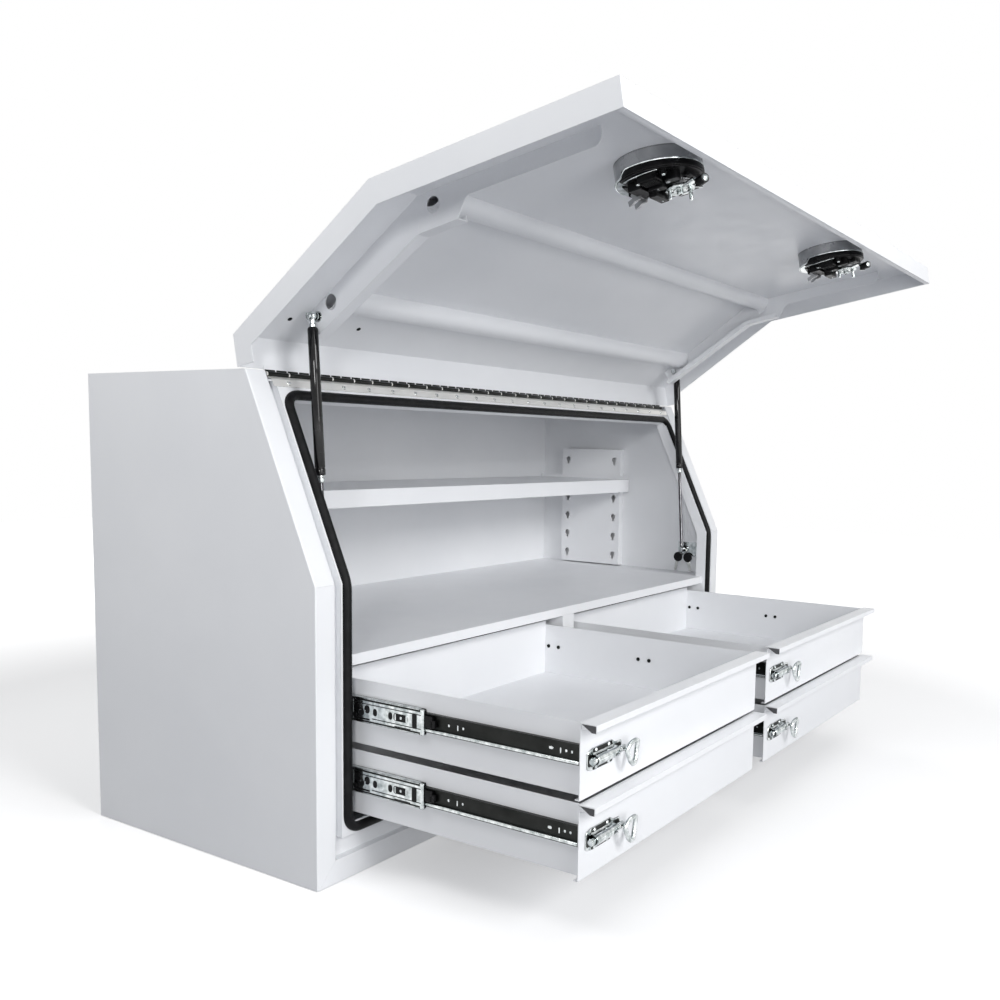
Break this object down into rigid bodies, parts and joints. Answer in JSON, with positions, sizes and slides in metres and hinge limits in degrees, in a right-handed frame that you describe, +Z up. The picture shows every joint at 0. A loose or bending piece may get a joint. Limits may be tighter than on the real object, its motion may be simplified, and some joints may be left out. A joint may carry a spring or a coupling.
{
  "type": "tool storage box",
  "caption": "Gullwing tool storage box of folded white-coated aluminium with a top-hinged lid on gas struts, a shelf and sliding drawers with latches.",
  "frame": {"origin": "middle of the cabinet's footprint, on the floor", "axes": "+X along the front to the right, +Y from front to back, +Z up"},
  "size_m": [1.5, 1.1505, 1.1918],
  "materials": {
    "white_coat": "satin powder coat",
    "seal_rubber": "matte",
    "hinge_steel": "brushed",
    "bright_zinc": "bright zinc plate",
    "dish_steel": "satin",
    "lock_plastic": "matte",
    "strut_black": "gloss",
    "rod_chrome": "ground",
    "slide_zinc": "dark zinc",
    "key_steel": "nickel"
  },
  "bodies": {
    "cabinet": {"side_panel_left": "white_coat", "side_panel_right": "white_coat", "frame_stile_left": "white_coat", "frame_stile_right": "white_coat", "frame_sill": "white_coat", "frame_header": "white_coat", "top_panel": "white_coat", "back_panel": "white_coat", "base_panel": "white_coat", "door_seal": "seal_rubber", "drawer_deck": "white_coat", "drawer_divider": "white_coat", "keyhole_plates": "white_coat", "shelf": "white_coat", "hinge_leaf_cabinet": "hinge_steel", "hinge_pin": "hinge_steel", "slide_rails_fixed": "slide_zinc", "strut_brackets": "bright_zinc", "keys": "key_steel"},
    "lid": {"lid_skin": "white_coat", "lid_stiffener_left": "white_coat", "lid_stiffener_right": "white_coat", "lid_rail_front": "white_coat", "lid_rail_rear": "white_coat", "hinge_leaf_lid": "hinge_steel", "strut_fixings_lid": "bright_zinc", "lock_dishes": "dish_steel", "lock_housings": "lock_plastic"},
    "lock_left": {"lock_handle_left": "bright_zinc", "lock_cam_left": "bright_zinc"},
    "lock_right": {"lock_handle_right": "bright_zinc", "lock_cam_right": "bright_zinc"},
    "strut_rod_left": {"strut_rod_left": "rod_chrome"},
    "strut_cylinder_left": {"strut_cylinder_left": "strut_black"},
    "strut_rod_right": {"strut_rod_right": "rod_chrome"},
    "strut_cylinder_right": {"strut_cylinder_right": "strut_black"},
    "drawer_lower_left": {"drawer_tray_lower_left": "white_coat", "drawer_front_lower_left": "white_coat", "slide_inner_lower_left": "slide_zinc", "latch_plate_lower_left": "bright_zinc"},
    "slide_middle_lower_left": {"slide_middle_lower_left": "slide_zinc"},
    "latch_bolt_lower_left": {"latch_bolt_lower_left": "bright_zinc"},
    "drawer_lower_right": {"drawer_tray_lower_right": "white_coat", "drawer_front_lower_right": "white_coat", "slide_inner_lower_right": "slide_zinc", "latch_plate_lower_right": "bright_zinc"},
    "slide_middle_lower_right": {"slide_middle_lower_right": "slide_zinc"},
    "latch_bolt_lower_right": {"latch_bolt_lower_right": "bright_zinc"},
    "drawer_upper_left": {"drawer_tray_upper_left": "white_coat", "drawer_front_upper_left": "white_coat", "slide_inner_upper_left": "slide_zinc", "latch_plate_upper_left": "bright_zinc"},
    "slide_middle_upper_left": {"slide_middle_upper_left": "slide_zinc"},
    "latch_bolt_upper_left": {"latch_bolt_upper_left": "bright_zinc"},
    "drawer_upper_right": {"drawer_tray_upper_right": "white_coat", "drawer_front_upper_right": "white_coat", "slide_inner_upper_right": "slide_zinc", "latch_plate_upper_right": "bright_zinc"},
    "slide_middle_upper_right": {"slide_middle_upper_right": "slide_zinc"},
    "latch_bolt_upper_right": {"latch_bolt_upper_right": "bright_zinc"}
  },
  "joints": [
    {"name": "lid_hinge", "type": "hinge", "parent": "cabinet", "child": "lid", "pos_m": [0, -0.132, 0.845], "axis": [1, 0, 0], "range_deg": [0, 100]},
    {"name": "lock_turn_left", "type": "hinge", "parent": "lid", "child": "lock_left", "pos_m": [-0.448, -0.77348, 1.1287], "axis": [0, 0.1736, 0.9848], "range_deg": [-57, 33]},
    {"name": "lock_turn_right", "type": "hinge", "parent": "lid", "child": "lock_right", "pos_m": [0.34, -0.77348, 1.1287], "axis": [0, 0.1736, 0.9848], "range_deg": [-57, 33]},
    {"name": "strut_pivot_left", "type": "hinge", "parent": "cabinet", "child": "strut_rod_left", "pos_m": [-0.658, -0.232, 0.452], "axis": [1, 0, 0], "range_deg": [0, 0.731]},
    {"name": "strut_stroke_left", "type": "slide", "parent": "strut_rod_left", "child": "strut_cylinder_left", "axis": [0, -0.0653, -0.9979], "range_m": [0, 0.18146]},
    {"name": "strut_pivot_right", "type": "hinge", "parent": "cabinet", "child": "strut_rod_right", "pos_m": [0.658, -0.232, 0.452], "axis": [1, 0, 0], "range_deg": [0, 0.731]},
    {"name": "strut_stroke_right", "type": "slide", "parent": "strut_rod_right", "child": "strut_cylinder_right", "axis": [0, -0.0653, -0.9979], "range_m": [0, 0.18146]},
    {"name": "drawer_travel_lower_left", "type": "slide", "parent": "cabinet", "child": "drawer_lower_left", "axis": [0, 1, 0], "range_m": [0, 0.482]},
    {"name": "slide_travel_lower_left", "type": "slide", "parent": "cabinet", "child": "slide_middle_lower_left", "axis": [0, 1, 0], "range_m": [0, 0.241]},
    {"name": "bolt_travel_lower_left", "type": "slide", "parent": "drawer_lower_left", "child": "latch_bolt_lower_left", "axis": [-1, 0, 0], "range_m": [0, 0.03]},
    {"name": "drawer_travel_lower_right", "type": "slide", "parent": "cabinet", "child": "drawer_lower_right", "axis": [0, 1, 0], "range_m": [0, 0.482]},
    {"name": "slide_travel_lower_right", "type": "slide", "parent": "cabinet", "child": "slide_middle_lower_right", "axis": [0, 1, 0], "range_m": [0, 0.241]},
    {"name": "bolt_travel_lower_right", "type": "slide", "parent": "drawer_lower_right", "child": "latch_bolt_lower_right", "axis": [-1, 0, 0], "range_m": [0, 0.03]},
    {"name": "drawer_travel_upper_left", "type": "slide", "parent": "cabinet", "child": "drawer_upper_left", "axis": [0, 1, 0], "range_m": [0, 0.482]},
    {"name": "slide_travel_upper_left", "type": "slide", "parent": "cabinet", "child": "slide_middle_upper_left", "axis": [0, 1, 0], "range_m": [0, 0.241]},
    {"name": "bolt_travel_upper_left", "type": "slide", "parent": "drawer_upper_left", "child": "latch_bolt_upper_left", "axis": [-1, 0, 0], "range_m": [0, 0.03]},
    {"name": "drawer_travel_upper_right", "type": "slide", "parent": "cabinet", "child": "drawer_upper_right", "axis": [0, 1, 0], "range_m": [0, 0.482]},
    {"name": "slide_travel_upper_right", "type": "slide", "parent": "cabinet", "child": "slide_middle_upper_right", "axis": [0, 1, 0], "range_m": [0, 0.241]},
    {"name": "bolt_travel_upper_right", "type": "slide", "parent": "drawer_upper_right", "child": "latch_bolt_upper_right", "axis": [-1, 0, 0], "range_m": [0, 0.03]}
  ],
  "couplings": [
    {"joint": "strut_pivot_left", "follows": "lid_hinge", "ratio": 0.0073002},
    {"joint": "strut_stroke_left", "follows": "lid_hinge", "m_per_rad": 0.10391},
    {"joint": "strut_pivot_right", "follows": "lid_hinge", "ratio": 0.0073002},
    {"joint": "strut_stroke_right", "follows": "lid_hinge", "m_per_rad": 0.10391},
    {"joint": "drawer_travel_lower_left", "follows": "lid_hinge", "m_per_rad": 0.27616},
    {"joint": "slide_travel_lower_left", "follows": "lid_hinge", "m_per_rad": 0.13808},
    {"joint": "drawer_travel_lower_right", "follows": "lid_hinge", "m_per_rad": 0.27616},
    {"joint": "slide_travel_lower_right", "follows": "lid_hinge", "m_per_rad": 0.13808},
    {"joint": "drawer_travel_upper_left", "follows": "lid_hinge", "m_per_rad": 0.27616},
    {"joint": "slide_travel_upper_left", "follows": "lid_hinge", "m_per_rad": 0.13808},
    {"joint": "drawer_travel_upper_right", "follows": "lid_hinge", "m_per_rad": 0.27616},
    {"joint": "slide_travel_upper_right", "follows": "lid_hinge", "m_per_rad": 0.13808}
  ]
}
